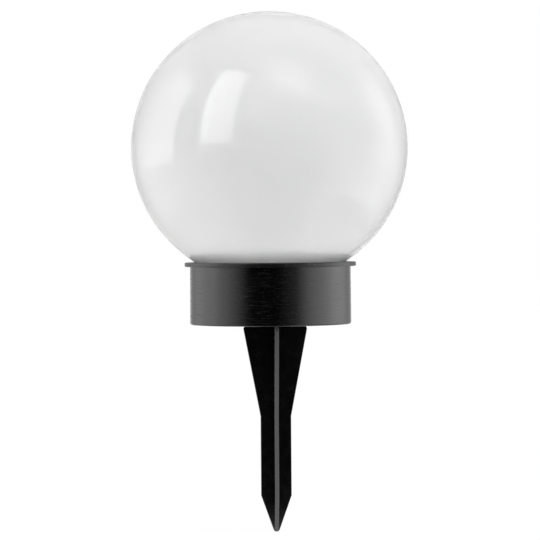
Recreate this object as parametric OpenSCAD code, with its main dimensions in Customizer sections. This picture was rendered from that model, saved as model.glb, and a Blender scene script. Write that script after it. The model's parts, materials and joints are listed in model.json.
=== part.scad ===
// Solar path light: an opal ball screwed into a round collar that plugs onto a four-bladed stake.
// Millimetres. The origin is on the collar's axis, in the plane of its foot ring. Z points up.

/* [Globe] */
// Width of the opal ball
globe_d = 200; // [170:1:240]
// Height of the ball's whole outline, a little less than its width
globe_h = 196.9; // [170:0.1:240]
// Wall of the ball
globe_wall = 2.5; // [1.5:0.1:4]
// Width of the flat shoulder that sits on the flange, outside the neck
shoulder_w = 3; // [2.6:0.1:5]
// Length of the neck below the shoulder
neck_h = 11; // [9:0.5:12]
// Wall of the neck
neck_wall = 2.2; // [1.5:0.1:3]

/* [Thread] */
// Rise of the neck thread in one turn
thread_pitch = 4; // [3.2:0.1:5]
// Height of each thread ridge
thread_h = 1.2; // [0.8:0.1:1.6]
// Width of each thread ridge at its foot
thread_w = 1.4; // [1:0.1:1.5]
// Gap between a ridge's crest and the wall that faces it
thread_gap = 0.4; // [0.2:0.05:0.6]

/* [Collar] */
// Diameter of the collar right under the flange
collar_d = 116.2; // [105:0.1:130]
// Diameter of the collar at its foot, a little more than at its top
foot_d = 116.6; // [105:0.1:131]
// Height from the foot ring to the top of the flange
collar_h = 45; // [42:0.2:60]
// Wall of the collar
collar_wall = 2.5; // [1.6:0.1:3]
// Radius of the collar's lower outer edge
foot_round = 1.4; // [0.5:0.1:2]
// Width of the foot ring that the collar stands on
foot_ring_w = 5.4; // [3:0.1:6]
// Height of the foot ring under the collar's floor
foot_step = 1.2; // [0.8:0.1:1.6]
// Thickness of the collar's floor
floor_t = 2.2; // [1.6:0.1:3]

/* [Deck] */
// Diameter of the flange
flange_d = 124; // [120:0.5:140]
// Thickness of the flange
flange_t = 3.1; // [2.4:0.1:4]
// Radius of the flange's edges
flange_round = 0.8; // [0.2:0.1:1]
// Wall of the deck's threaded skirt
skirt_wall = 2.5; // [1.2:0.1:3]
// Gap between the skirt and the collar's wall
skirt_gap = 0.2; // [0.1:0.05:0.4]
// Depth of the well from the flange's top to the deck's floor
well_depth = 14; // [13:0.1:15]
// Thickness of the deck's floor
deck_floor_t = 2; // [1.5:0.1:3]
// Thickness of the white sheet on the deck's floor
reflector_t = 0.8; // [0.5:0.1:1]

/* [Seals] */
// Thickness of the rubber ring under the ball's shoulder
neck_seal_t = 1.2; // [1:0.1:1.8]
// Width of the rubber ring in the collar's rim
rim_seal_w = 0.8; // [0.6:0.1:1.2]
// Thickness of the rubber ring in the collar's rim
rim_seal_t = 0.7; // [0.4:0.1:1]
// Gap round each rubber ring in its seat
seal_gap = 0.1; // [0.05:0.05:0.2]

/* [Stake] */
// Distance of the stake's axis from the collar's axis
stake_off = 3.2; // [0:0.1:6]
// Thickness of each blade
blade_t = 3; // [2:0.1:4]
// Width across two blades at their top
blade_top_w = 45.8; // [40:0.2:56]
// Width across two blades below the kink
blade_low_w = 22.1; // [16:0.1:26]
// Width across the blunt tip
tip_w = 3.4; // [3:0.1:6]
// Length of the tapered upper part
stake_upper_h = 65.6; // [50:0.1:90]
// Length of the straight lower part
stake_lower_h = 57.4; // [40:0.1:80]
// Length of the tapered point above the tip's rounding
stake_point_h = 24.5; // [15:0.1:35]
// Radius of the blades' top corners
blade_round = 3; // [1:0.1:5]
// Gap between the blades' tops and the foot ring's plane
blade_drop = 1; // [0.5:0.1:2]
// Diameter of the disc that seats the stake against the collar's floor
seat_d = 26; // [24:0.5:28]
// Width across the plug's blades
plug_w = 22; // [18:0.5:23]
// Height of the plug inside its socket
plug_h = 15; // [12:0.5:16]
// Gap on each side of the plug in its socket
plug_gap = 0.15; // [0.1:0.05:0.3]
// Lead-in at the plug's top
plug_lead = 1.5; // [0.5:0.1:2.5]
// Wall round and over the socket
socket_wall = 2; // [1.5:0.1:2.4]

/* [Solar panel] */
// Side of the square panel
panel_w = 50; // [40:1:54]
// Thickness of the panel's board
panel_board_t = 1.6; // [1:0.1:2]
// Number of cell strips
cell_strips = 4; // [2:1:8]
// Gap between cell strips
strip_gap = 1; // [0.5:0.1:2]
// Thickness of each cell strip
strip_t = 0.3; // [0.2:0.05:0.5]
// Bare margin of the board round the strips
panel_margin = 2; // [1:0.5:4]
// Thickness of the clear sheet over the cells
window_t = 1.2; // [0.8:0.1:1.6]

/* [Lamps and board] */
// Number of lamps round the panel
led_count = 4; // [2:2:4]
// Diameter of each lamp
led_d = 5; // [3:0.5:5]
// Height of each lamp above its rim
led_h = 7.6; // [6:0.2:9]
// Radius of the ring of lamps
led_ring_r = 31; // [30.5:0.5:33]
// Diameter of the circuit board
board_d = 72; // [70:1:76]
// Thickness of the circuit board
board_t = 1.6; // [1:0.1:2]
// Gap between the cell's cradle and the circuit board
board_spare = 0.8; // [0.5:0.1:1]
// Radius of the ring of board screws
board_screw_r = 30; // [29:0.5:31]

/* [Battery] */
// Diameter of the cell
cell_d = 14.5; // [14:0.1:15]
// Length of the cell with its nub
cell_l = 50.5; // [48:0.1:52]
// Distance of the cell's axis from the collar's axis
cell_off = 28; // [27:0.5:30]
// Gap on each side of the cell in its compartment
cell_side_gap = 0.75; // [0.4:0.05:1]
// Room for a contact at each end of the cell
contact_room = 3.2; // [2.5:0.1:4]
// Thickness of the contact strips
contact_t = 0.4; // [0.3:0.05:0.6]
// Width of the contact strips
contact_w = 9; // [6:0.5:11]
// Wall of the compartment
box_wall = 1.6; // [1.2:0.1:2]
// Thickness of the battery door
door_t = 1.6; // [1.2:0.1:2]
// Gap round the battery door
door_gap = 0.3; // [0.2:0.05:0.5]
// Width of the ledge that the door's seal presses on
ledge_w = 1.9; // [1.5:0.1:2.4]
// Thickness of that ledge
ledge_t = 1.2; // [0.8:0.1:1.6]
// Thickness of the door's seal
door_seal_t = 0.8; // [0.5:0.1:1.2]
// Height of the door's two rests under the cell
rest_h = 1; // [0.5:0.1:1.5]

/* [Switch] */
// Distance of the switch from the collar's axis
switch_off = 36; // [34:0.5:40]
// Travel of the switch knob
switch_travel = 3; // [2:0.1:4]
// Width of the switch body
switch_w = 8; // [7:0.1:10]
// Length of the switch body
switch_l = 14; // [13:0.1:18]
// Height of the switch body
switch_h = 6; // [5:0.1:8]
// Width of the knob
knob_w = 3; // [2:0.1:4]
// Length of the knob
knob_l = 4; // [3:0.1:4.5]
// Gap round the knob
knob_gap = 0.3; // [0.2:0.05:0.4]

/* [Screws and wires] */
// Shank diameter of the deck screws
deck_screw_d = 3; // [2.5:0.1:3.5]
// Length of the deck screws under their heads
deck_screw_l = 14; // [10:0.5:18]
// Shank diameter of the small screws
small_screw_d = 2.2; // [1.8:0.1:2.6]
// Length of the small screws under their heads
small_screw_l = 5.5; // [4:0.5:7]
// Radius of the ring of deck screws
deck_screw_r = 49; // [48:0.1:49.5]
// Wall round each screw in its post
post_wall = 2; // [1.5:0.1:2.5]
// Gap round a screw in its hole
screw_gap = 0.1; // [0.05:0.05:0.2]
// Diameter of the wires
wire_d = 1.2; // [0.8:0.1:1.4]

/* [Hidden] */
$fn = 96;

BLACK = "#17171a";
OPAL = "#f2f4f1";
RUBBER = "#2b2b2b";
METAL = "#b9bcc0";
EPS = 0.01;

// Radii from the collar's wall inwards to the ball's neck
collar_r = collar_d / 2;
foot_r = foot_d / 2;
inner_r = collar_r - collar_wall;
skirt_r = inner_r - skirt_gap;
bore_r = skirt_r - skirt_wall;
neck_r = bore_r - thread_gap - thread_h;
neck_in_r = neck_r - neck_wall;
shoulder_r = neck_r + shoulder_w;
crest_in_r = bore_r - thread_h;
flange_r = flange_d / 2;
foot_in_r = foot_r - foot_ring_w;

// Heights of the collar and the deck
floor_top = foot_step + floor_t;
flange_low = collar_h - flange_t;
well_z = collar_h - well_depth;
deck_low = well_z - deck_floor_t;

// The ball's centre lies where its outline meets the shoulder at the flange's top
ball_a = globe_d / 2;
ball_b = globe_h / 2;
ball_start = -acos(shoulder_r / ball_a);
ball_z = collar_h - ball_b * sin(ball_start);
cave_start = -acos(neck_in_r / (ball_a - globe_wall));
ball_steps = 36;

// Thread ridges: the ball's starts half a pitch below the deck's, and both end under the seal
ridge_step = 12;
ridge_margin = 0.3;
neck_low = collar_h - neck_h;
ridge_edge = thread_w / 2 + ridge_margin;
ball_ridge_z = neck_low + ridge_edge;
deck_ridge_z = ball_ridge_z + thread_pitch / 2;
ridge_end = collar_h - neck_seal_t - ridge_edge;
crest_share = 0.5;
ridge_root = 0.6;

// The stake's heights, all below the foot ring
blade_top_z = -blade_drop;
kink_z = blade_top_z - stake_upper_h;
point_z = kink_z - stake_lower_h;
tip_z = point_z - stake_point_h;
tip_r = tip_w / 2;
plug_top = foot_step + plug_h;
socket_r = plug_w / 2 + plug_gap + socket_wall;
socket_play = 0.5;

// Places round the collar
led_turn = 360 / led_count;
board_screw_angles = [45, 135, 225, 315];
deck_screw_angles = [15, 135, 255];
cell_turn = 135;
switch_turn = 45;

// The battery compartment, with X away from the collar's axis and Y along the cell
box_half_x = cell_d / 2 + cell_side_gap;
box_half_y = cell_l / 2 + contact_room;
door_half_x = box_half_x + ledge_w;
door_half_y = box_half_y + ledge_w;
door_top = foot_step + door_t;
ledge_low = door_top + door_seal_t;
ledge_top = ledge_low + ledge_t;
rest_gap = 0.3;
cell_z = door_top + rest_h + rest_gap + cell_d / 2;
cradle_gap = 0.1;
cradle_y = 12;
cradle_t = 3;
cradle_top = cell_z + cell_d / 2 + box_wall;
nub_d = 5.5;
nub_h = 1;
contact_gap = 0.1;
leaf_flat = 1;
leaf_curl = 4;
box_rise = 5.6;
box_top = cell_z + box_rise;
contact_low = cell_z - box_rise - contact_gap;
contact_top = box_top + contact_t + contact_gap;
lug_r = 4.5;
lug_lap = 0.8;
lug_y = door_half_y + lug_r - lug_lap;
lug_boss_h = 7;

// The circuit board lies over the cell's cradle and hangs from the deck's floor
board_low = cradle_top + board_spare;
board_top = board_low + board_t;
board_gap = deck_low - board_top;
coil_place = [12, 8];
coil_r = 3.4;
coil_bore_r = 1.2;
coil_spare = 1.8;
chip_place = [-4, 10];
chip_size = [6, 5, 1.5];
tank_place = [-14, -10];
tank_d = 5;
tank_spare = 1.4;
resistor_place = [8, -12];
resistor_size = [1.6, 3.2, 0.8];
resistor_step = 3;
resistors = 4;
leg_side = 1.27;
leg_hole_d = 1;

// Screws and their posts; the cross in a head is written in shares of the head
pan_h = 1.2;
small_post_wall = 1.6;
cross_l = 0.6;
cross_w = 0.16;
cross_depth = 0.4;
deck_head_d = 5.6;
deck_head_h = 2;
small_head_d = 2 * small_screw_d;
post_r = deck_screw_d / 2 + screw_gap + post_wall;
small_post_r = small_screw_d / 2 + screw_gap + small_post_wall;
post_rib_drop = 2;
hole_spare = 1;
pass_gap = 0.2;

// Switch details
knob_low = 0.3;
knob_plate = 1;
knob_plate_t = 1.2;
rail_t = 1.2;
rail_h = 4;

// The panel stack on the deck's floor
cells_z = well_z + panel_board_t;
window_z = cells_z + strip_t;
wire_hole = [0, -8];
wire_hole_d = 6;
wire_side = 1.6;
wire_jog = 1.2;
cell_wire_x = -2;
cell_wire_inset = 1.4;
cell_wire_rise = 1.8;
cell_wire_end = [-14, 16];
switch_wire_y = 3;
switch_wire_rise = 4;
switch_wire_end = [-7, 5];
switch_wire_drop = 3;

// Copies of a part on a circle round the collar's axis
module ring_of(r, angles) {
    for (a = angles) rotate([0, 0, a]) translate([r, 0, 0]) children();
}

module cell_place() {
    rotate([0, 0, cell_turn]) translate([cell_off, 0, 0]) children();
}

module switch_place() {
    rotate([0, 0, switch_turn]) translate([switch_off, 0, 0]) children();
}

// A box that is centred on Z and stands on the height z
module block(size, z = 0) {
    translate([-size[0] / 2, -size[1] / 2, z]) cube(size);
}

module tube(r, hole_r, h, z = 0) {
    translate([0, 0, z]) difference() {
        cylinder(r = r, h = h);
        translate([0, 0, -1]) cylinder(r = hole_r, h = h + 2);
    }
}

// Points of a round corner about a centre, from one angle to another
function corner(centre, r, from, to, steps = 6) =
    [for (i = [0:steps]) let (t = from + (to - from) * i / steps) centre + r * [cos(t), sin(t)]];

// A helical ridge: each ring has two foot points inside the wall and two crest points outside it
function ridge_ring(i, n, wall_r, side, z0) =
    let (
        t = ridge_step * i,
        rise = min(1, i / 3, (n - i) / 3),
        foot = wall_r - side * ridge_root,
        crest = wall_r + side * (thread_h * rise - ridge_root / 2 * (1 - rise)),
        z = z0 + thread_pitch * t / 360,
        low = thread_w / 2,
        top = low * crest_share
    )
    [for (p = [[foot, -low], [crest, -top], [crest, top], [foot, low]])
        [p[0] * cos(t), p[0] * sin(t), z + p[1]]];

// Side 1 stands out from a neck and side -1 stands into a bore
module ridge(wall_r, side, z0) {
    n = floor((ridge_end - z0) / thread_pitch * 360 / ridge_step);
    pts = [for (i = [0:n]) each ridge_ring(i, n, wall_r, side, z0)];
    walls = [for (i = [0:n - 1], k = [0:3])
        let (a = 4 * i + k, b = 4 * i + (k + 1) % 4) each [[a, b, b + 4], [a, b + 4, a + 4]]];
    ends = [[3, 2, 1], [3, 1, 0], [4 * n, 4 * n + 1, 4 * n + 2], [4 * n, 4 * n + 2, 4 * n + 3]];
    faces = concat(walls, ends);
    turned = [for (f = faces) [f[2], f[1], f[0]]];
    polyhedron(points = pts, faces = side > 0 ? faces : turned);
}

// A wire along a route whose inner corners are rounded
function unit(v) = v / norm(v);
function bend(a, b, c, r) =
    let (p = b + r * unit(a - b), q = b + r * unit(c - b))
    [for (i = [0:4]) let (t = i / 4) (1 - t) * (1 - t) * p + 2 * t * (1 - t) * b + t * t * q];
function route(p, r) = [p[0], for (i = [1:len(p) - 2]) each bend(p[i - 1], p[i], p[i + 1], r),
    p[len(p) - 1]];
function heading(p, i) = unit(p[min(i + 1, len(p) - 1)] - p[max(i - 1, 0)]);
function carried(p, i, s) =
    let (t = heading(p, i), c = unit(s - (s * t) * t))
    i == len(p) - 1 ? [c] : concat([c], carried(p, i + 1, c));

module wire(points, side = [1, 0.2, 0], r = 1.6) {
    p = route(points, r);
    s = carried(p, 0, side);
    n = 8;
    last = n * (len(p) - 1);
    pts = [for (i = [0:len(p) - 1], k = [0:n - 1])
        let (u = s[i], v = cross(heading(p, i), u), a = 360 * k / n)
        p[i] + wire_d / 2 * (cos(a) * u + sin(a) * v)];
    walls = [for (i = [0:len(p) - 2], k = [0:n - 1])
        let (a = n * i + k, b = n * i + (k + 1) % n) each [[a, b + n, b], [a, a + n, b + n]]];
    start = [for (k = [1:n - 2]) [0, k, k + 1]];
    end = [for (k = [1:n - 2]) [last, last + k + 1, last + k]];
    polyhedron(points = pts, faces = concat(walls, start, end));
}

// A screw whose head's underside is at Z 0, with its shank pointing down
module pan_screw(d, l, head_d, head_h) {
    difference() {
        union() {
            cylinder(d = head_d, h = head_h);
            translate([0, 0, -l]) cylinder(d = d, h = l + EPS);
        }
        for (a = [0, 90]) rotate([0, 0, a])
            block([head_d * cross_l, head_d * cross_w, head_h], head_h * (1 - cross_depth));
    }
}

// Half of the stake's outline, from the seat disc down to the tip
function stake_half() =
    let (top = blade_top_w / 2, low = blade_low_w / 2)
    concat(
        [[0, blade_top_z]],
        corner([top - blade_round, blade_top_z - blade_round], blade_round, 90, 0),
        [[low, kink_z], [low, point_z]],
        corner([0, tip_z], tip_r, 0, -90));

module blade_pair() {
    rotate([90, 0, 0]) linear_extrude(height = blade_t, center = true) union() {
        polygon(stake_half());
        mirror([1, 0]) polygon(stake_half());
    }
}

module plug_pair(gap = 0) {
    half = plug_w / 2 + gap;
    top = plug_top + (gap > 0 ? socket_play : 0);
    foot = gap > 0 ? foot_step - 1 : -blade_drop;
    rotate([90, 0, 0]) linear_extrude(height = blade_t + 2 * gap, center = true)
        polygon([[-half, foot], [half, foot], [half, top - plug_lead], [half - plug_lead, top],
            [plug_lead - half, top], [-half, top - plug_lead]]);
}

module stake() {
    color(BLACK) translate([stake_off, 0, 0]) {
        for (a = [0, 90]) rotate([0, 0, a]) {
            blade_pair();
            plug_pair();
        }
        translate([0, 0, blade_top_z]) cylinder(d = seat_d, h = foot_step - blade_top_z);
    }
}

module housing_shell() {
    rotate_extrude() polygon(concat(
        [[0, foot_step], [foot_in_r, foot_step], [foot_in_r, 0]],
        corner([foot_r - foot_round, foot_round], foot_round, -90, 0),
        [[collar_r, flange_low], [inner_r, flange_low], [inner_r, floor_top], [0, floor_top]]));
}

// The door's outline: a plate with a round lug for a screw at each end
module door_outline(grow = 0) {
    square([2 * (door_half_x + grow), 2 * (door_half_y + grow)], center = true);
    square([2 * (lug_r + grow), 2 * lug_y], center = true);
    for (s = [-1, 1]) translate([0, s * lug_y]) circle(r = lug_r + grow);
}

module cell_box() {
    wall_h = box_top - floor_top;
    cell_place() {
        translate([0, 0, foot_step]) linear_extrude(height = ledge_top - foot_step)
            door_outline(door_gap + box_wall);
        difference() {
            block([2 * (box_half_x + box_wall), 2 * (box_half_y + box_wall), wall_h], floor_top);
            block([2 * box_half_x, 2 * box_half_y, wall_h], ledge_top);
        }
        for (s = [-1, 1]) translate([0, s * cradle_y, 0])
            block([2 * (box_half_x + box_wall), cradle_t, cradle_top - floor_top], floor_top);
        for (s = [-1, 1]) translate([0, s * lug_y, floor_top])
            cylinder(r = small_post_r, h = lug_boss_h);
    }
}

module cell_box_cuts() {
    cell_place() {
        linear_extrude(height = ledge_low) door_outline(door_gap);
        block([2 * box_half_x, 2 * box_half_y, cell_z], 0);
        translate([0, 0, cell_z]) rotate([90, 0, 0])
            cylinder(d = cell_d + 2 * cradle_gap, h = 2 * (cradle_y + cradle_t), center = true);
        for (s = [-1, 1]) translate([0, s * lug_y, 0])
            cylinder(d = small_screw_d + 2 * screw_gap,
                h = foot_step + small_screw_l + hole_spare);
    }
}

module switch_mount() {
    switch_place() for (s = [-1, 1])
        translate([s * (switch_w + rail_t) / 2, 0, 0])
            block([rail_t, switch_l, floor_top + rail_h - foot_step], foot_step);
}

module switch_window() {
    switch_place() block([knob_w + 2 * knob_gap, knob_l + switch_travel + 2 * knob_gap,
        floor_top + 1], 0);
}

module deck_post() {
    cylinder(r = post_r, h = deck_low - foot_step);
    translate([0, -post_wall / 2, 0])
        cube([inner_r - deck_screw_r + EPS, post_wall, deck_low - foot_step - post_rib_drop]);
}

module housing() {
    socket_h = plug_top + socket_play + socket_wall - foot_step;
    color(BLACK) difference() {
        union() {
            housing_shell();
            translate([stake_off, 0, foot_step]) cylinder(r = socket_r, h = socket_h);
            translate([0, 0, foot_step]) ring_of(deck_screw_r, deck_screw_angles) deck_post();
            cell_box();
            switch_mount();
        }
        translate([stake_off, 0, 0]) for (a = [0, 90]) rotate([0, 0, a]) plug_pair(plug_gap);
        cell_box_cuts();
        switch_window();
        ring_of(deck_screw_r, deck_screw_angles)
            translate([0, 0, deck_low - deck_screw_l - hole_spare])
                cylinder(d = deck_screw_d + 2 * screw_gap, h = deck_screw_l + 2 * hole_spare);
        rim_seal(seal_gap);
    }
}

// The rubber ring that fills the groove in the collar's rim
module rim_seal(grow = 0) {
    mid = (collar_r + inner_r) / 2;
    half = rim_seal_w / 2 + grow;
    tube(mid + half, mid - half, rim_seal_t + (grow > 0 ? 1 : 0), flange_low - rim_seal_t);
}

module deck_gasket() {
    color(RUBBER) rim_seal();
}

module deck_shell() {
    recess_r = bore_r + neck_seal_t;
    f = flange_round;
    rotate_extrude() polygon(concat(
        [[0, deck_low], [skirt_r, deck_low], [skirt_r, flange_low]],
        corner([flange_r - f, flange_low + f], f, -90, 0),
        corner([flange_r - f, collar_h - f], f, 0, 90),
        [[recess_r, collar_h], [recess_r, collar_h - neck_seal_t],
            [bore_r, collar_h - neck_seal_t], [bore_r, well_z], [0, well_z]]));
}

module deck() {
    color(BLACK) difference() {
        union() {
            deck_shell();
            ridge(bore_r, -1, deck_ridge_z);
            translate([0, 0, board_top]) ring_of(board_screw_r, board_screw_angles)
                cylinder(r = small_post_r, h = board_gap + EPS);
        }
        translate([0, 0, deck_low - 1]) {
            ring_of(led_ring_r, [0:led_turn:359])
                cylinder(d = led_d + 2 * pass_gap, h = deck_floor_t + 2);
            ring_of(deck_screw_r, deck_screw_angles)
                cylinder(d = deck_screw_d + 2 * pass_gap, h = deck_floor_t + 2);
            translate(wire_hole) cylinder(d = wire_hole_d, h = deck_floor_t + 2);
        }
        translate([0, 0, board_low]) ring_of(board_screw_r, board_screw_angles)
            cylinder(d = small_screw_d + 2 * screw_gap, h = small_screw_l + hole_spare / 2);
    }
}

module deck_screws() {
    color(METAL) translate([0, 0, well_z]) ring_of(deck_screw_r, deck_screw_angles)
        pan_screw(deck_screw_d, deck_screw_l, deck_head_d, deck_head_h);
}

module neck_seal() {
    color(RUBBER) tube(bore_r + neck_seal_t - seal_gap, neck_r + seal_gap, neck_seal_t,
        collar_h - neck_seal_t);
}

// Points of the ball's outline, on its outside or on its inside
function ball_line(inset, from, to) =
    [for (i = [0:ball_steps]) let (t = from + (to - from) * i / ball_steps)
        [(ball_a - inset) * max(0, cos(t)), ball_z + (ball_b - inset) * sin(t)]];

module globe() {
    color(OPAL, 0.85) union() {
        rotate_extrude() polygon(concat(
            ball_line(0, ball_start, 90),
            ball_line(globe_wall, 90, cave_start),
            [[neck_in_r, neck_low], [neck_r, neck_low], [neck_r, collar_h]]));
        ridge(neck_r, 1, ball_ridge_z);
    }
}

module reflector() {
    color("white") difference() {
        translate([0, 0, well_z]) cylinder(r = crest_in_r - pass_gap, h = reflector_t);
        block([panel_w + 2 * pass_gap, panel_w + 2 * pass_gap, collar_h], 0);
        ring_of(led_ring_r, [0:led_turn:359]) cylinder(d = led_d + 2 * pass_gap, h = collar_h);
        ring_of(deck_screw_r, deck_screw_angles)
            cylinder(d = deck_head_d + 4 * pass_gap, h = collar_h);
    }
}

module solar_board() {
    color("#1d3b2a") block([panel_w, panel_w, panel_board_t], well_z);
}

module solar_cells() {
    span = panel_w - 2 * panel_margin;
    strip_w = (span - (cell_strips - 1) * strip_gap) / cell_strips;
    color("#141a33") for (i = [0:cell_strips - 1])
        translate([-span / 2, -span / 2 + i * (strip_w + strip_gap), cells_z])
            cube([span, strip_w, strip_t]);
}

module panel_window() {
    color("#9fb4c8", 0.5) block([panel_w, panel_w, window_t], window_z);
}

// One lamp: its rim lies under the deck's floor and its dome stands above it
module led() {
    rim_h = 1;
    rim_d = led_d + 0.9;
    leg = 0.5;
    dome = led_d / 2;
    translate([0, 0, deck_low]) {
        translate([0, 0, -rim_h]) cylinder(d = rim_d, h = rim_h);
        cylinder(d = led_d, h = led_h - dome);
        translate([0, 0, led_h - dome]) sphere(d = led_d);
        for (s = [-1, 1]) translate([0, s * leg_side, -rim_h])
            mirror([0, 0, 1]) block([leg, leg, board_gap + board_t]);
    }
}

module leds() {
    color("#fff3cf") ring_of(led_ring_r, [0:led_turn:359]) led();
}

module circuit_board() {
    color("#1f5c3a") difference() {
        translate([0, 0, board_low]) cylinder(d = board_d, h = board_t);
        translate([0, 0, board_low - 1]) {
            ring_of(led_ring_r, [0:led_turn:359])
                for (s = [-1, 1]) translate([0, s * leg_side, 0])
                    cylinder(d = leg_hole_d, h = board_t + 2);
            ring_of(board_screw_r, board_screw_angles)
                cylinder(d = small_screw_d + 2 * pass_gap, h = board_t + 2);
        }
    }
}

// Coil, chip, capacitor and resistors, on top of the board
module board_parts() {
    color("#303030") translate([0, 0, board_top]) {
        translate(coil_place) tube(coil_r, coil_bore_r, board_gap - coil_spare);
        translate(chip_place) block(chip_size);
        translate(tank_place) cylinder(d = tank_d, h = board_gap - tank_spare);
        for (i = [0:resistors - 1]) translate(resistor_place + [resistor_step * i, 0])
            block(resistor_size);
    }
}

module board_screws() {
    color(METAL) translate([0, 0, board_low]) ring_of(board_screw_r, board_screw_angles)
        mirror([0, 0, 1]) pan_screw(small_screw_d, small_screw_l, small_head_d, pan_h);
}

module battery() {
    color("#4d7a5a") cell_place() translate([0, 0, cell_z]) rotate([-90, 0, 0]) {
        translate([0, 0, -cell_l / 2]) cylinder(d = cell_d, h = cell_l - nub_h);
        translate([0, 0, cell_l / 2 - nub_h - EPS]) cylinder(d = nub_d, h = nub_h + EPS);
    }
}

// A leaf that stands against the compartment's end and bulges to the cell's flat end
module contact_spring() {
    wall = -box_half_y;
    touch = -cell_l / 2;
    t = contact_t;
    color(METAL) cell_place() rotate([90, 0, 90])
        linear_extrude(height = contact_w, center = true) polygon([
            [wall, contact_top], [wall, contact_low], [wall + t, contact_low],
            [touch, cell_z - leaf_flat], [touch, cell_z + leaf_flat],
            [wall + 3 * t, cell_z + leaf_curl], [wall + 2.4 * t, cell_z + leaf_curl - 1.5 * t],
            [touch - t, cell_z + leaf_flat - t / 2], [touch - t, cell_z - leaf_flat + t / 2],
            [wall + t, contact_low + 2 * t], [wall + t, contact_top - t],
            [wall + 6 * t, contact_top - t], [wall + 6 * t, contact_top]]);
}

// A plate that stands against the cell's nub and folds back to the compartment's end
module contact_plate() {
    wall = box_half_y;
    touch = cell_l / 2;
    t = contact_t;
    color(METAL) cell_place() rotate([90, 0, 90])
        linear_extrude(height = contact_w, center = true) polygon([
            [touch, contact_low], [touch + t, contact_low], [touch + t, contact_top - t],
            [wall, contact_top - t], [wall, contact_top], [touch, contact_top]]);
}

module panel_wires() {
    mid = (deck_low + board_top) / 2;
    color("red") for (s = [-1, 1]) {
        x = wire_hole[0] + s * wire_side;
        y = wire_hole[1];
        wire([[x, y, well_z], [x, y, mid + wire_jog], [x, y - wire_jog, mid - wire_jog],
            [x, y - wire_jog, board_top]], r = wire_jog / 4);
    }
}

module battery_wires() {
    high = contact_top + cell_wire_rise;
    out = cell_wire_end;
    color("red") cell_place() for (s = [-1, 1]) {
        y = s * (box_half_y - cell_wire_inset);
        wire([[cell_wire_x, y, contact_top], [cell_wire_x, y, high], [out[0], s * out[1], high],
            [out[0], s * out[1], board_low]], r = 1);
    }
}

module switch_wires() {
    start = floor_top + switch_h;
    out = switch_wire_end;
    color("black") switch_place() for (s = [-1, 1]) {
        y = s * switch_wire_y;
        wire([[0, y, start], [0, y, start + switch_wire_rise],
            [out[0], s * out[1], board_low - switch_wire_drop],
            [out[0], s * out[1], board_low]], r = 1.2);
    }
}

module switch_body() {
    plate = knob_plate + knob_gap;
    color("#26262a") switch_place() difference() {
        block([switch_w, switch_l, switch_h], floor_top);
        block([knob_w + 2 * plate, knob_l + switch_travel + 2 * plate, knob_plate_t + 2 * knob_gap
            + floor_top], 0);
    }
}

// The knob at one end of its travel, with the plate that holds it inside the switch
module switch_knob() {
    color("#d8d8d8") switch_place() translate([0, -switch_travel / 2, 0]) {
        block([knob_w, knob_l, floor_top + knob_gap + knob_plate_t - knob_low], knob_low);
        block([knob_w + 2 * knob_plate, knob_l + 2 * knob_plate, knob_plate_t],
            floor_top + knob_gap);
    }
}

module battery_door() {
    color(BLACK) cell_place() difference() {
        union() {
            translate([0, 0, foot_step]) linear_extrude(height = door_t) door_outline();
            for (s = [-1, 1]) translate([0, s * cradle_y, 0])
                block([box_half_x, cradle_t, rest_h + EPS], door_top - EPS);
        }
        for (s = [-1, 1]) translate([0, s * lug_y, foot_step]) {
            translate([0, 0, -1]) cylinder(d = small_screw_d + 2 * pass_gap, h = door_t + 2);
            sunk_head(screw_gap);
        }
    }
}

// A countersunk head whose flat face is at Z 0
module sunk_head(grow = 0) {
    h = small_screw_d / 2;
    cylinder(r1 = small_screw_d + grow, r2 = small_screw_d / 2 + grow, h = h);
}

module door_gasket() {
    color(RUBBER) cell_place() translate([0, 0, door_top]) linear_extrude(height = door_seal_t)
        difference() {
            square([2 * (door_half_x - seal_gap), 2 * (door_half_y - seal_gap)], center = true);
            square([2 * (box_half_x + seal_gap), 2 * (box_half_y + seal_gap)], center = true);
        }
}

module door_screws() {
    color(METAL) cell_place() for (s = [-1, 1]) translate([0, s * lug_y, foot_step]) {
        difference() {
            sunk_head();
            for (a = [0, 90]) rotate([0, 0, a]) translate([0, 0, -EPS])
                block([small_head_d * cross_l, small_head_d * cross_w, small_screw_d / 4]);
        }
        translate([0, 0, small_screw_d / 4]) cylinder(d = small_screw_d, h = small_screw_l);
    }
}

stake();
housing();
deck();
deck_gasket();
deck_screws();
neck_seal();
globe();
reflector();
solar_board();
solar_cells();
panel_window();
leds();
circuit_board();
board_parts();
board_screws();
battery();
contact_spring();
contact_plate();
panel_wires();
battery_wires();
switch_wires();
switch_body();
switch_knob();
battery_door();
door_gasket();
door_screws();
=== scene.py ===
"""A solar path light, dressed for its picture: opal ball, black collar and black ground stake.

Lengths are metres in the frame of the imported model. Z points up along the collar's axis, X to the
right in the picture and Y away from the camera.
"""

import json
import logging
import math
from collections.abc import Callable, Iterator, Sequence
from contextlib import contextmanager
from dataclasses import dataclass, field
from enum import Enum

import bpy
from bpy.types import Material, NodeSocket, NodeTree, Object, ShaderNode
from mathutils import Matrix, Vector


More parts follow.
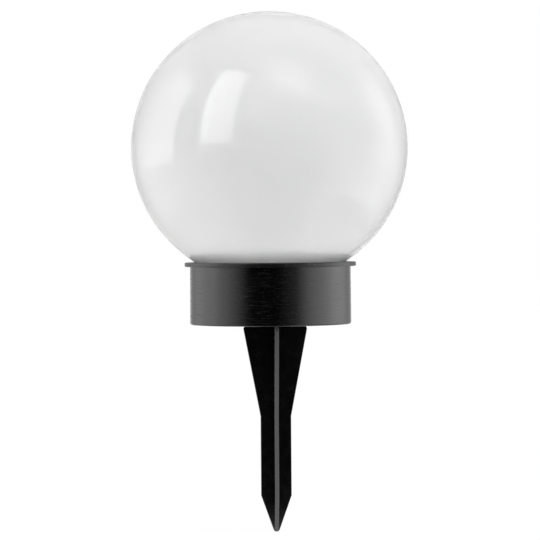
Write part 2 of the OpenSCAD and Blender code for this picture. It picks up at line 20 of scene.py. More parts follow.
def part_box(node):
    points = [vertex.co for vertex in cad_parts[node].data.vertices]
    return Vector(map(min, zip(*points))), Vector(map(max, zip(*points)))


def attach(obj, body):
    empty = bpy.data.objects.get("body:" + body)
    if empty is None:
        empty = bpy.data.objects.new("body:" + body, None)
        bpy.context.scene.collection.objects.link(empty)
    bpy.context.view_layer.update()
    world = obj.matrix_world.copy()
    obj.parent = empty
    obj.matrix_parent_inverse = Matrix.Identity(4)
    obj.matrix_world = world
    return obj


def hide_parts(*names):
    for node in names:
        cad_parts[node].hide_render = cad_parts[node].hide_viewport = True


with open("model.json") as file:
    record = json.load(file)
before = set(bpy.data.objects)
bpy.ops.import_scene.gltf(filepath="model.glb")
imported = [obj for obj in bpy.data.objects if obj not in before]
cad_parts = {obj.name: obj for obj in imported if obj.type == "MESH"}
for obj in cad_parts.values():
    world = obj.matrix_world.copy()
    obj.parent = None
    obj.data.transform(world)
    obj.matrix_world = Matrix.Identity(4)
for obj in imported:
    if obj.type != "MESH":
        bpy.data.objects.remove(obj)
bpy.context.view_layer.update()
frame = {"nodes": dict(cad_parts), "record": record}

Colour = tuple[float, float, float]
Point = tuple[float, float, float]
Pair = tuple[float, float]
Term = NodeSocket | Colour | float

log = logging.getLogger("path_light")

WHITE: Colour = (1.0, 1.0, 1.0)
EVEN: Point = (1.0, 1.0, 1.0)
UP = Vector((0.0, 0.0, 1.0))
MM = 0.001
NEAR = 1e-5  # A point this close to a height lies at it.
DOUBLED = 5e-7  # Two points this close to each other are one.
SHARP = 60.0  # Edges that turn more degrees than this are rounded.


class Body(Enum):
    """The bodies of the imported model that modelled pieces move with."""

    STAKE = "stake"
    BALL = "ball"


class Role(Enum):
    """What a soft box is for."""

    LIGHT = "light"
    HIGHLIGHT = "highlight"


# ---- Modelling steps that every piece shares


def select_only(piece: Object) -> None:
    """Deselects everything and makes one piece selected and active.

    Args:
        piece: The object to work on.
    """
    bpy.ops.object.select_all(action="DESELECT")
    piece.select_set(True)
    bpy.context.view_layer.objects.active = piece


@contextmanager
def editing(piece: Object, whole: bool = False) -> Iterator[None]:
    """Opens a piece in edit mode, where points are selected, and closes it again.

    Args:
        piece: The object to work on.
        whole: Whether the whole piece is selected first.
    """
    select_only(piece)
    bpy.ops.object.mode_set(mode="EDIT")
    bpy.ops.mesh.select_mode(type="VERT")
    if whole:
        bpy.ops.mesh.select_all(action="SELECT")
    yield
    bpy.ops.object.mode_set(mode="OBJECT")


def pick(piece: Object, test: Callable[[Vector], bool]) -> None:
    """Selects the points of a mesh that pass a test, and nothing else.

    Args:
        piece: The object whose mesh is searched, in object mode.
        test: Says for a point's place whether it belongs to the pick.
    """
    mesh = piece.data
    for group in (mesh.edges, mesh.polygons):
        group.foreach_set("select", [False] * len(group))
    mesh.vertices.foreach_set("select", [test(point.co) for point in mesh.vertices])


def named(name: str) -> Object:
    """Names the primitive that was just added.

    Args:
        name: The piece's name.

    Returns:
        The primitive.
    """
    piece = bpy.context.active_object
    piece.name = name
    piece.data.name = name
    return piece


def settle(piece: Object) -> None:
    """Moves a piece's place, turn and size into its mesh.

    Args:
        piece: The object whose transform is applied.
    """
    select_only(piece)
    bpy.ops.object.transform_apply(location=True, rotation=True, scale=True)


def tidy(piece: Object, smooth_below: float = 35.0) -> None:
    """Merges doubled points, turns the faces outwards and smooths the round ones.

    Args:
        piece: The object to finish.
        smooth_below: Edges that turn less than this many degrees are smoothed.
    """
    with editing(piece, whole=True):
        bpy.ops.mesh.remove_doubles(threshold=DOUBLED)
        bpy.ops.mesh.normals_make_consistent(inside=False)
    bpy.ops.object.shade_smooth_by_angle(angle=math.radians(smooth_below))


def apply_modifier(piece: Object, kind: str, **settings: object) -> None:
    """Adds one modifier to a piece and applies it.

    Args:
        piece: The object that the modifier changes.
        kind: Blender's name for the modifier's type.
        **settings: The modifier's properties.
    """
    select_only(piece)
    modifier = piece.modifiers.new(kind.lower(), kind)
    for key, value in settings.items():
        setattr(modifier, key, value)
    bpy.ops.object.modifier_apply(modifier=modifier.name)


def round_edges(piece: Object, width: float, steps: int, sharp: float = SHARP) -> None:
    """Rounds a piece's sharp edges.

    Args:
        piece: The object whose edges are rounded.
        width: How far the rounding reaches from the edge.
        steps: The number of faces across it.
        sharp: Edges that turn more than this many degrees are rounded.
    """
    apply_modifier(piece, "BEVEL", width=width, segments=steps, limit_method="ANGLE",
                   angle_limit=math.radians(sharp))


def combine(piece: Object, tool: Object, operation: str) -> None:
    """Joins a tool to a piece, or cuts it out, and removes the tool.

    Args:
        piece: The object that stays.
        tool: The object that is used up.
        operation: UNION or DIFFERENCE.
    """
    apply_modifier(piece, "BOOLEAN", operation=operation, object=tool, solver="MANIFOLD")
    bpy.data.objects.remove(tool)


# ---- The steps that node trees are made of


@dataclass(frozen=True)
class Nodes:
    """The nodes of a material, a lamp or the surroundings.

    Attributes:
        tree: The tree that every step adds to.
    """

    tree: NodeTree

    def feed(self, socket: NodeSocket, term: Term) -> None:
        """Gives an input a number, a vector or a tone, or links it to an output.

        Args:
            socket: The input.
            term: What it gets. A tone is made opaque where the input has four numbers.
        """
        if isinstance(term, NodeSocket):
            self.tree.links.new(term, socket)
        elif isinstance(term, tuple):
            socket.default_value = (*term, 1.0)[:len(socket.default_value)]
        else:
            socket.default_value = term

    def add(self, kind: str, *terms: Term, **settings: object) -> ShaderNode:
        """Adds a node.

        Args:
            kind: The node's type.
            *terms: What its first inputs get, in order.
            **settings: The node's properties.

        Returns:
            The node.
        """
        node = self.tree.nodes.new(f"ShaderNode{kind}")
        for key, value in settings.items():
            setattr(node, key, value)
        for socket, term in zip(node.inputs, terms):
            self.feed(socket, term)
        return node

    def show(self, surface: NodeSocket, output: str = "Material Output") -> None:
        """Makes a shader the surface."""
        self.feed(self.tree.nodes[output].inputs["Surface"], surface)

    def reckon(self, operation: str, *terms: NodeSocket | float) -> NodeSocket:
        """Does one sum on values or numbers, in order."""
        return self.add("Math", *terms, operation=operation).outputs["Value"]

    def span(self, source: NodeSocket, low: float, high: float, start: float = 0.3,
             end: float = 0.7) -> NodeSocket:
        """Maps a value, so that its start gives the low result and its end the high one."""
        return self.add("MapRange", source, start, end, low, high).outputs["Result"]

    def place(self, stretch: Point = EVEN) -> NodeSocket:
        """Object coordinates, stretched along each axis.

        Args:
            stretch: Scale along X, Y and Z.

        Returns:
            The place.
        """
        mapping = self.add("Mapping", self.add("TexCoord").outputs["Object"])
        self.feed(mapping.inputs["Scale"], stretch)
        return mapping.outputs["Vector"]

    def axes(self, place: NodeSocket) -> list[NodeSocket]:
        """Splits a place into X, Y and Z."""
        return self.add("SeparateXYZ", place).outputs[:]

    def noise(self, grain: float, stretch: Point = EVEN, detail: float = 3.0) -> NodeSocket:
        """A noise in object space.

        Args:
            grain: Noise cells in a metre.
            stretch: Scale along X, Y and Z.
            detail: The number of finer layers.

        Returns:
            The noise, from 0 to 1.
        """
        cloud = self.add("TexNoise", self.place(stretch))
        self.feed(cloud.inputs["Scale"], grain)
        self.feed(cloud.inputs["Detail"], detail)
        return cloud.outputs["Fac"]

    def blend(self, share: NodeSocket, first: Term, second: Colour) -> NodeSocket:
        """Mixes two tones.

        Args:
            share: 0 for the first tone and 1 for the second.
            first: The tone at 0.
            second: The tone at 1.

        Returns:
            The mixed tone.
        """
        mix = self.add("Mix", data_type="RGBA")
        for name, term in (("Factor", share), ("A", first), ("B", second)):
            self.feed(mix.inputs[name], term)
        return mix.outputs["Result"]

    def cover(self, socket: NodeSocket, share: NodeSocket, tone: Colour) -> None:
        """Lays a tone over the one that an input is linked to, by a share."""
        self.feed(socket, self.blend(share, socket.links[0].from_socket, tone))

    def emboss(self, shader: ShaderNode, height: NodeSocket, depth: float) -> None:
        """Turns a height into relief.

        Args:
            shader: The shader whose normal is changed.
            height: The height, from 0 to 1.
            depth: The relief's depth in metres.
        """
        bump = self.add("Bump")
        self.feed(bump.inputs["Distance"], depth)
        self.feed(bump.inputs["Height"], height)
        self.feed(shader.inputs["Normal"], bump.outputs["Normal"])

    def glow(self, level: NodeSocket | float) -> NodeSocket:
        """A white glow, where a level of 1 is the white of the background."""
        return self.add("Emission", WHITE, level).outputs["Emission"]

    def mixed(self, share: NodeSocket, first: NodeSocket, second: NodeSocket) -> NodeSocket:
        """Mixes two shaders, where a share of 0 gives the first."""
        return self.add("MixShader", share, first, second).outputs["Shader"]

    def seen(self) -> NodeSocket:
        """1 for rays from the camera, from a gloss or through glass, and 0 for the rest.

        Returns:
            The value.
        """
        path = self.add("LightPath")
        share = path.outputs["Is Camera Ray"]
        for name in ("Is Glossy Ray", "Is Transmission Ray"):
            share = self.reckon("MAXIMUM", share, path.outputs[name])
        return share


def blank_material(name: str) -> tuple[Material, Nodes]:
    """Makes a node material.

    Args:
        name: The material's name.

    Returns:
        The material and its nodes.
    """
    material = bpy.data.materials.new(name)
    material.use_nodes = True
    return material, Nodes(material.node_tree)


# ---- Finishes


@dataclass(frozen=True)
class Finish:
    """A surface whose tone, gloss and relief drift with noise in object space.

    Attributes:
        name: The material's name.
        colour: The main tone.
        drift: The tone that the noise leads to.
        roughness: The gloss in the middle of its range.
        spread: How far the roughness swings to each side.
        grain: Noise cells in a metre.
        stretch: Scale of the noise along X, Y and Z.
        relief: Depth of the surface's relief in metres.
        metallic: 1 for bare metal.
        ior: The index of refraction.
        subsurface: The share of light that is scattered inside.
        clear: The share of light that passes through.
    """

    name: str
    colour: Colour
    drift: Colour
    roughness: float = 0.4
    spread: float = 0.04
    grain: float = 400.0
    stretch: Point = EVEN
    relief: float = 0.00001
    metallic: float = 0.0
    ior: float = 1.5
    subsurface: float = 0.0
    clear: float = 0.0

    def build(self) -> Material:
        """Makes the node material.

        Returns:
            The material, with its noise in place.
        """
        material, nodes = blank_material(self.name)
        shader = nodes.tree.nodes["Principled BSDF"]
        shader.subsurface_method = "BURLEY"
        for name, term in (("Metallic", self.metallic), ("IOR", self.ior),
                           ("Subsurface Weight", self.subsurface), ("Subsurface Radius", WHITE),
                           ("Transmission Weight", self.clear)):
            nodes.feed(shader.inputs[name], term)
        self.dress(nodes, shader)
        return material

    def dress(self, nodes: Nodes, shader: ShaderNode) -> None:
        """Links the noise to the shader's colour, roughness and normal.

        Args:
            nodes: The material's nodes.
            shader: The principled shader.
        """
        cloud = nodes.noise(self.grain, self.stretch)
        nodes.feed(shader.inputs["Base Color"], nodes.blend(cloud, self.colour, self.drift))
        gloss = nodes.span(cloud, self.roughness - self.spread, self.roughness + self.spread)
        nodes.feed(shader.inputs["Roughness"], gloss)
        nodes.emboss(shader, cloud, self.relief)


@dataclass(frozen=True)
class LinedFinish(Finish):
    """Black moulded plastic with fine lines round it, rubbed dull here and there, and dust specks.

    Attributes:
        lines: Noise cells in a metre along X, Y and Z.
        rubbed: The roughness of the rubbed lines.
        rubbed_range: The lines' noise from which they are rubbed, and where they are so in full.
        dust: The tone of the specks.
        dust_grain: Cells of the specks in a metre.
        dust_range: The specks' noise from which they show, and where they do so in full.
    """

    lines: Point = (70.0, 70.0, 1500.0)
    rubbed: float = 0.42
    rubbed_range: Pair = (0.5, 0.72)
    dust: Colour = (0.045, 0.045, 0.045)
    dust_grain: float = 1500.0
    dust_range: Pair = (0.73, 0.8)

    def dress(self, nodes: Nodes, shader: ShaderNode) -> None:
        """Links lines to the roughness and the relief, and noise and specks to the colour.

        Args:
            nodes: The material's nodes.
            shader: The principled shader.
        """
        fine = nodes.noise(1.0, self.lines, detail=2.0)
        worn = nodes.noise(self.grain, self.stretch)
        speck = nodes.span(nodes.noise(self.dust_grain, detail=0.0), 0.0, 1.0, *self.dust_range)
        tone = nodes.blend(worn, self.colour, self.drift)
        nodes.feed(shader.inputs["Base Color"], nodes.blend(speck, tone, self.dust))
        gloss = nodes.span(fine, self.roughness - self.spread, self.rubbed, *self.rubbed_range)
        nodes.feed(shader.inputs["Roughness"], gloss)
        nodes.emboss(shader, fine, self.relief)


@dataclass(frozen=True)
class StakeEdgeHighlightFinish(Finish):
    """Satin black plastic whose narrow edges are matt, with a painted highlight: a greyer tone laid
    on them.

    Attributes:
        edge: The greyer tone on the edges, a painted highlight.
        edge_roughness: The edges' roughness.
        mark: The attribute that is 1 on the edges, where the highlight is painted.
    """

    # Painted highlight: a greyer tone for the light that the narrow edges catch.
    edge: Colour = (0.1, 0.1, 0.1)
    edge_roughness: float = 0.6
    mark: str = "edge_highlight_face"

    def dress(self, nodes: Nodes, shader: ShaderNode) -> None:
        """Lays the edges' painted highlight tone and their roughness over the plain finish.

        Args:
            nodes: The material's nodes.
            shader: The principled shader.
        """
        super().dress(nodes, shader)
        share = nodes.add("Attribute", attribute_name=self.mark).outputs["Fac"]
        # Painted highlight: the narrow edges get a greyer tone in place of the light they catch.
        nodes.cover(shader.inputs["Base Color"], share, self.edge)
        satin = shader.inputs["Roughness"].links[0].from_socket
        rise = nodes.reckon("SUBTRACT", self.edge_roughness, satin)
        nodes.feed(shader.inputs["Roughness"], nodes.reckon("MULTIPLY_ADD", rise, share, satin))


@dataclass(frozen=True)
class RuledFinish(Finish):
    """A surface with thin metal lines across it, as on a solar cell or a circuit board.

    Attributes:
        metal: The lines' tone.
        across: Pitch, width and start of the lines that cross X, in metres.
        along: The same for the lines that cross Y.
        broken: The value of a noise below which a line is left out.
        broken_grain: That noise's cells in a metre.
    """

    metal: Colour = (0.6, 0.61, 0.62)
    across: Point = (0.0016, 0.00014, 0.0)
    along: Point = (0.01, 0.0007, 0.0)
    broken: float = 0.0
    broken_grain: float = 220.0

    def dress(self, nodes: Nodes, shader: ShaderNode) -> None:
        """Lays the lines over the plain finish.

        Args:
            nodes: The material's nodes.
            shader: The principled shader.
        """
        super().dress(nodes, shader)
        rules = zip(nodes.axes(nodes.place()), (self.across, self.along))
        lines = nodes.reckon("MAXIMUM", *(self.ruled(nodes, axis, *rule) for axis, rule in rules))
        kept = nodes.reckon("GREATER_THAN", nodes.noise(self.broken_grain), self.broken)
        share = nodes.reckon("MULTIPLY", lines, kept)
        nodes.cover(shader.inputs["Base Color"], share, self.metal)

    @staticmethod
    def ruled(nodes: Nodes, axis: NodeSocket, pitch: float, width: float,
              start: float) -> NodeSocket:
        """Gives 1 on evenly spaced lines across one axis, one of them at the start."""
        near = nodes.reckon("PINGPONG", nodes.reckon("SUBTRACT", axis, start), pitch / 2)
        return nodes.reckon("LESS_THAN", near, width / 2)


@dataclass(frozen=True)
class OpalFinish(Finish):
    """Opal plastic that carries the light further where the ball stands in the flange.

    Attributes:
        reach: How far the light spreads in the ball.
        foot_reach: How far it spreads at the ball's foot.
        foot: Heights between which the reach changes, the foot first.
    """

    reach: float = 0.022
    foot_reach: float = 0.1
    foot: Pair = (0.045, 0.055)

    def dress(self, nodes: Nodes, shader: ShaderNode) -> None:
        """Links the height to the reach, besides the plain finish.

        Args:
            nodes: The material's nodes.
            shader: The principled shader.
        """
        super().dress(nodes, shader)
        height = nodes.axes(nodes.place())[2]
        reach = nodes.span(height, self.foot_reach, self.reach, *self.foot)
        nodes.feed(shader.inputs["Subsurface Scale"], reach)


FINISHES: dict[str, Finish] = {
    finish.name: finish
    for finish in (
        OpalFinish("opal", (0.86, 0.866, 0.862), (0.87, 0.877, 0.872), roughness=0.025,
                   spread=0.006, grain=14.0, relief=0.00002, subsurface=1.0),
        # The stake's narrow edges get a painted highlight: a greyer tone.
        StakeEdgeHighlightFinish("stake_black", (0.0016, 0.0016, 0.0017), (0.003, 0.003, 0.0032),
                    roughness=0.24, spread=0.05, grain=160.0, relief=0.00002),
        LinedFinish("collar_black", (0.001, 0.001, 0.0011), (0.0024, 0.0024, 0.0026),
                    roughness=0.17, spread=0.03, grain=90.0, ior=1.54),
        LinedFinish("deck_black", (0.001, 0.001, 0.0011), (0.0016, 0.0016, 0.0017),
                    roughness=0.34, grain=120.0, ior=1.49, dust=(0.16, 0.16, 0.16),
                    dust_grain=1100.0),
        Finish("seal_rubber", (0.015, 0.015, 0.015), (0.03, 0.03, 0.03), roughness=0.8,
               grain=900.0, relief=0.00004),
        Finish("screw_steel", (0.52, 0.53, 0.54), (0.66, 0.67, 0.68), roughness=0.3, grain=700.0,
               stretch=(1.0, 1.0, 6.0), metallic=1.0),
        Finish("contact_metal", (0.62, 0.62, 0.6), (0.75, 0.75, 0.72), roughness=0.2, grain=500.0,
               metallic=1.0),
        Finish("white_sheet", (0.8, 0.8, 0.79), (0.87, 0.87, 0.86), roughness=0.55, grain=600.0),
        Finish("clear_sheet", (0.85, 0.9, 0.93), (0.9, 0.94, 0.96), roughness=0.08, spread=0.03,
               grain=200.0, clear=0.9),
        Finish("lamp_resin", (0.93, 0.88, 0.68), (0.97, 0.94, 0.8), roughness=0.08, spread=0.03,
               grain=500.0, clear=0.7),
        Finish("component_black", (0.018, 0.018, 0.018), (0.04, 0.04, 0.04), roughness=0.55,
               grain=1200.0, relief=0.00003),
        Finish("cell_sleeve", (0.07, 0.25, 0.12), (0.1, 0.31, 0.16), roughness=0.28, grain=300.0),
        Finish("wire_red", (0.42, 0.02, 0.02), (0.55, 0.04, 0.03), grain=900.0),
        Finish("wire_black", (0.012, 0.012, 0.012), (0.03, 0.03, 0.03), grain=900.0),
        Finish("knob_grey", (0.52, 0.52, 0.52), (0.62, 0.62, 0.62), roughness=0.5, grain=900.0,
               relief=0.00003),
        Finish("panel_board", (0.012, 0.05, 0.028), (0.02, 0.08, 0.04), roughness=0.45,
               grain=700.0),
        RuledFinish("cell_blue", (0.006, 0.01, 0.045), (0.012, 0.02, 0.09), roughness=0.2,
                    grain=260.0, along=(0.01175, 0.0008, -0.017625)),
        RuledFinish("board_green", (0.01, 0.09, 0.035), (0.02, 0.14, 0.05), grain=500.0,
                    metal=(0.06, 0.26, 0.1), across=(0.003, 0.0006, 0.0),
                    along=(0.0024, 0.0006, 0.0), broken=0.5),
    )
}


# ---- The studio


@dataclass(frozen=True)
class PhotoCamera:
    """The camera at the photograph's place, a little left of the light and nearly level.

    Attributes:
        distance: From the collar's axis to the camera.
        height: The camera's height over the foot ring.
        aim: The point that the picture's middle shows.
        azimuth: The camera's place round the axis, in degrees.
        roll: The camera's turn about its own view, in degrees.
        lens: The focal length in millimetres.
        sensor: The sensor's width in millimetres.
        sight: How far the camera sees.
    """

    distance: float = 2.4
    height: float = 0.0764
    aim: Point = (-0.00026, 0.0, 0.0392)
    azimuth: float = -3.0
    roll: float = -0.42
    lens: float = 221.2
    sensor: float = 36.0
    sight: float = 60.0

    def build(self) -> Object:
        """Adds the camera and makes it the scene's.

        Returns:
            The camera.
        """
        angle = math.radians(self.azimuth)
        place = Vector((self.distance * math.sin(angle), -self.distance * math.cos(angle),
                        self.height))
        view = (Vector(self.aim) - place).to_track_quat("-Z", "Y")
        roll = Matrix.Rotation(math.radians(self.roll), 3, "Z").to_quaternion()
        bpy.ops.object.camera_add(location=place)
        camera = bpy.context.active_object
        camera.name = "photo_camera"
        camera.rotation_mode = "QUATERNION"
        camera.rotation_quaternion = view @ roll
        camera.data.lens = self.lens
        camera.data.sensor_width = self.sensor
        camera.data.clip_end = self.sight
        bpy.context.scene.camera = camera
        return camera


@dataclass(frozen=True)
class SoftBox:
    """A rectangular lamp that faces a point of the light.

    Attributes:
        name: The lamp's name.
        place: The middle of its face.
        width: Its width.
        height: Its height.
        level: Its brightness, where 1 is the white of the background.
        aim: The point that it faces.
        role: Whether it lights the object or only shows in its gloss.
        fall: The share of its level that the side at its own +X has.
        fall_from: The share of its width from which the level changes.
        soft: The share of its size over which its rim fades.
    """

    name: str
    place: Point
    width: float
    height: float
    level: float
    aim: Point = (0.0, 0.0, 0.06)
    role: Role = Role.LIGHT
    fall: float = 1.0
    fall_from: float = 0.2
    soft: float = 0.01

    def build(self) -> Object:
        """Adds the lamp, unseen by the camera itself.

        Returns:
            The lamp.
        """
        bpy.ops.object.light_add(type="AREA", location=self.place)
        lamp = bpy.context.active_object
        lamp.name = self.name
        lamp.rotation_mode = "QUATERNION"
        lamp.rotation_quaternion = (Vector(self.aim) - Vector(self.place)).to_track_quat("-Z", "Y")
        lamp.data.shape = "RECTANGLE"
        lamp.data.size = self.width
        lamp.data.size_y = self.height
        lamp.data.energy = self.level * math.pi * self.width * self.height
        lamp.visible_camera = False
        lamp.visible_diffuse = self.role is Role.LIGHT
        lamp.visible_glossy = self.role is Role.HIGHLIGHT
        if self.role is Role.HIGHLIGHT:
            self.shade(lamp)
        return lamp

    def shade(self, lamp: Object) -> None:
        """Lets the level change from one side of the lamp to the other and fade at its rim.

        Args:
            lamp: The lamp.
        """
        lamp.data.use_nodes = True
        nodes = Nodes(lamp.data.node_tree)
        across, up, _ = nodes.axes(nodes.add("NewGeometry").outputs["Parametric"])
        level = nodes.span(across, 1.0, self.fall, self.fall_from, 1.0)
        for axis in (across, up):
            rim = nodes.reckon("PINGPONG", axis, 0.5)
            level = nodes.reckon("MULTIPLY", level, nodes.span(rim, 0.0, 1.0, 0.0, self.soft))
        nodes.feed(nodes.tree.nodes["Emission"].inputs["Strength"], level)


@dataclass(frozen=True)
class Studio:
    """White surroundings with a pale floor, soft boxes and a tent that only gloss shows.

    Attributes:
        floor_z: The floor's height, just under the stake's tip.
        floor_radius: The floor's radius.
        floor_tone: The floor's tone where it is lit.
        fill: The level of the light that the white surroundings give.
        floor_share: The share of the floor's white that a shadow can't take away.
        floor_glow: The strength of that share.
        floor_bounce: The same share for the light that the floor throws back.
        tent_radius: The distance of the tent's wall from the light.
        tent_top: The height of the wall's top.
        tent_dark: Heights between which the wall's dark front turns white.
        tent_bright: Heights between which its bright sides fall to white.
        tent_foot: Heights between which its bright sides rise from white.
        back_top: The height of the pale wall behind the light.
        back_level: That wall's level.
        dark_reach: How far out the dark floor starts, and where it is as dark as the wall.
        dark_sides: The angles between which the dark floor lies.
        peak: The level that stands for 1 in the tent's shades.
        shades: Angles from the camera in degrees, right positive, and the wall's levels there.
        steps: The number of straight pieces in a round of the floor, the walls or the dark floor.
        boxes: The soft boxes.
    """

    floor_z: float = -0.1507
    floor_radius: float = 6.0
    floor_tone: Colour = (0.9, 0.9, 0.9)
    fill: float = 0.64
    floor_share: float = 0.88
    floor_glow: float = 1.06
    floor_bounce: float = 0.45
    tent_radius: float = 0.42
    tent_top: float = 0.48
    tent_dark: Pair = (0.16, 0.36)
    tent_bright: Pair = (0.07, 0.19)
    tent_foot: Pair = (-0.2, -0.1)
    back_top: float = 0.6
    back_level: float = 0.78
    dark_reach: Pair = (0.02, 0.1)
    dark_sides: Pair = (-51.0, 44.0)
    peak: float = 4.0
    shades: tuple[Pair, ...] = (
        (-150.0, 0.58), (-138.0, 0.7), (-125.0, 1.25), (-118.0, 1.56), (-103.0, 1.83),
        (-86.0, 2.03), (-78.0, 1.76), (-72.0, 1.56), (-64.0, 1.4), (-51.0, 0.83), (-45.0, 0.55),
        (-39.0, 0.31), (-34.0, 0.08), (-28.0, 0.0), (8.0, 0.0), (12.0, 0.06), (20.0, 0.12),
        (32.0, 0.3), (44.0, 1.05), (50.0, 1.48), (57.0, 1.76), (63.0, 1.95), (77.0, 2.3),
        (90.0, 2.57), (101.0, 2.34), (116.0, 1.6), (130.0, 0.78), (140.0, 0.58), (150.0, 0.55),
    )
    steps: int = 96
    boxes: tuple[SoftBox, ...] = (
        SoftBox("soft_box_strip", (-0.24, -0.254, 0.378), 0.176, 0.48, 3.8,
                aim=(0.122, 0.198, 0.25), role=Role.HIGHLIGHT, fall=0.7),
        SoftBox("left_wall", (-0.356, 0.095, 0.27), 0.39, 0.44, 0.34, aim=(0.0, 0.0, 0.27),
                role=Role.HIGHLIGHT, fall=10.0, soft=0.12),
        SoftBox("right_wall", (0.39, 0.06, 0.27), 0.34, 0.48, 1.5, aim=(0.0, 0.0, 0.27),
                role=Role.HIGHLIGHT, soft=0.4),
        SoftBox("ceiling_patch", (0.42, -1.1, 1.62), 1.4, 1.8, 1.8, role=Role.HIGHLIGHT,
                soft=0.35),
        SoftBox("soft_box_top", (0.45, -0.5, 1.8), 1.0, 1.0, 2.9),
        SoftBox("soft_box_left", (-1.9, -0.3, 0.5), 1.2, 1.2, 0.45),
    )

    @property
    def ends(self) -> Pair:
        """The angles at which the tent's wall starts and ends."""
        return self.shades[0][0], self.shades[-1][0]

    def build(self) -> None:
        """Adds the surroundings, the floor, the tent and the lamps."""
        bpy.context.scene.view_settings.view_transform = "Standard"
        self.surround()
        self.floor()
        self.tent()
        for box in self.boxes:
            box.build()
        log.info("studio: %d soft boxes", len(self.boxes))

    def surround(self) -> None:
        """Makes the world white to look at and a plain fill light for the rest."""
        world = bpy.data.worlds.new("white_surround")
        bpy.context.scene.world = world
        world.use_nodes = True
        nodes = Nodes(world.node_tree)
        fill = nodes.tree.nodes["Background"]
        for socket, term in zip(fill.inputs, (WHITE, self.fill)):
            nodes.feed(socket, term)
        white = nodes.add("Background", WHITE, 1.0)
        surface = nodes.mixed(nodes.seen(), *(n.outputs["Background"] for n in (fill, white)))
        nodes.show(surface, "World Output")

    def floor(self) -> None:
        """Adds the pale floor, mostly glowing and partly lit. A view from below passes it."""
        bpy.ops.mesh.primitive_circle_add(vertices=self.steps, radius=self.floor_radius,
                                          fill_type="NGON", location=UP * self.floor_z)
        floor = named("floor")
        settle(floor)
        material, nodes = blank_material("pale_floor")
        lit = nodes.add("BsdfDiffuse", self.floor_tone).outputs["BSDF"]
        share = nodes.reckon("MULTIPLY", nodes.seen(), self.floor_share)
        share = nodes.reckon("MAXIMUM", share, self.floor_bounce)
        upper = nodes.mixed(share, lit, nodes.glow(self.floor_glow))
        below = nodes.add("NewGeometry").outputs["Backfacing"]
        gap = nodes.add("BsdfTransparent").outputs["BSDF"]
        nodes.show(nodes.mixed(below, upper, gap))
        floor.data.materials.append(material)

    def tent(self) -> None:
        """Adds the tent's wall, the dark floor before the camera and the wall behind the light."""
        foot = self.floor_z + MM
        inner = self.dark_reach[0]
        first, last = self.ends
        wall = self.swept("tent_wall", (self.tent_radius, foot),
                          (0.0, self.tent_top - self.floor_z), self.ends)
        front = self.swept("dark_floor", (inner, foot), (self.tent_radius - inner, 0.0),
                           self.dark_sides)
        back = self.swept("back_wall", (self.tent_radius, foot),
                          (0.0, self.back_top - self.floor_z), (last, 360.0 + first))
        shade = self.tent_finish()
        pale, nodes = blank_material("back_wall")
        nodes.show(nodes.glow(self.back_level))
        for sheet, material in ((wall, shade), (front, shade), (back, pale)):
            sheet.data.materials.append(material)
            for kind in ("camera", "diffuse", "transmission", "volume_scatter", "shadow"):
                setattr(sheet, f"visible_{kind}", False)

    def swept(self, name: str, start: Pair, run: Pair, angles: Pair) -> Object:
        """Sweeps a straight line round the light's axis.

        Args:
            name: The sheet's name.
            start: The line's radius and height where it starts.
            run: How far it goes outwards and up.
            angles: The first and the last angle from the camera in degrees, right positive.

        Returns:
            The sheet.
        """
        first, last = angles
        turn = math.radians(last - 90.0)
        way = Vector((math.cos(turn), math.sin(turn), 0.0))
        begin, line = (way * out + UP * rise for out, rise in (start, run))
        bpy.ops.mesh.primitive_plane_add(size=1.0)
        sheet = named(name)
        with editing(sheet, whole=True):
            bpy.ops.mesh.merge(type="CENTER")
        sheet.data.vertices[0].co = begin
        with editing(sheet, whole=True):
            bpy.ops.mesh.extrude_region_move(TRANSFORM_OT_translate={"value": line})
            bpy.ops.mesh.select_all(action="SELECT")
            bpy.ops.mesh.spin(steps=self.steps, angle=math.radians(last - first),
                              center=(0.0, 0.0, 0.0), axis=UP)
        return sheet

    def tent_finish(self) -> Material:
        """The tent's glow: dark in front, bright at the sides, white on top and at its foot.

        Returns:
            The material.
        """
        material, nodes = blank_material("tent")
        reckon, span = nodes.reckon, nodes.span
        across, along, height = nodes.axes(nodes.place())
        turn = reckon("ARCTAN2", across, reckon("MULTIPLY", along, -1.0))
        first, last = self.ends
        turned = span(turn, 0.0, 1.0, math.radians(first), math.radians(last))
        ramp = nodes.add("ValToRGB", turned)
        stops = ramp.color_ramp.elements
        for angle, _ in self.shades[1:-1]:
            stops.new((angle - first) / (last - first))
        for stop, (_, level) in zip(stops, self.shades):
            stop.color = (*(level / self.peak,) * 3, 1.0)
        ring = reckon("MULTIPLY_ADD", ramp.outputs["Color"], self.peak, -1.0)
        fade = reckon("MULTIPLY", span(height, 1.0, 0.0, *self.tent_bright),
                      span(height, 0.0, 1.0, *self.tent_foot))
        bright = reckon("MULTIPLY", reckon("MAXIMUM", ring, 0.0), fade)
        square = reckon("MULTIPLY_ADD", along, along, reckon("MULTIPLY", across, across))
        near = span(reckon("SQRT", square), 0.0, 1.0, *self.dark_reach)
        rise = reckon("MULTIPLY", span(height, 1.0, 0.0, *self.tent_dark), near)
        dark = reckon("MULTIPLY", reckon("MINIMUM", ring, 0.0), rise)
        nodes.show(nodes.glow(reckon("ADD", reckon("ADD", bright, dark), 1.0)))
        return material


# ---- The light's pieces


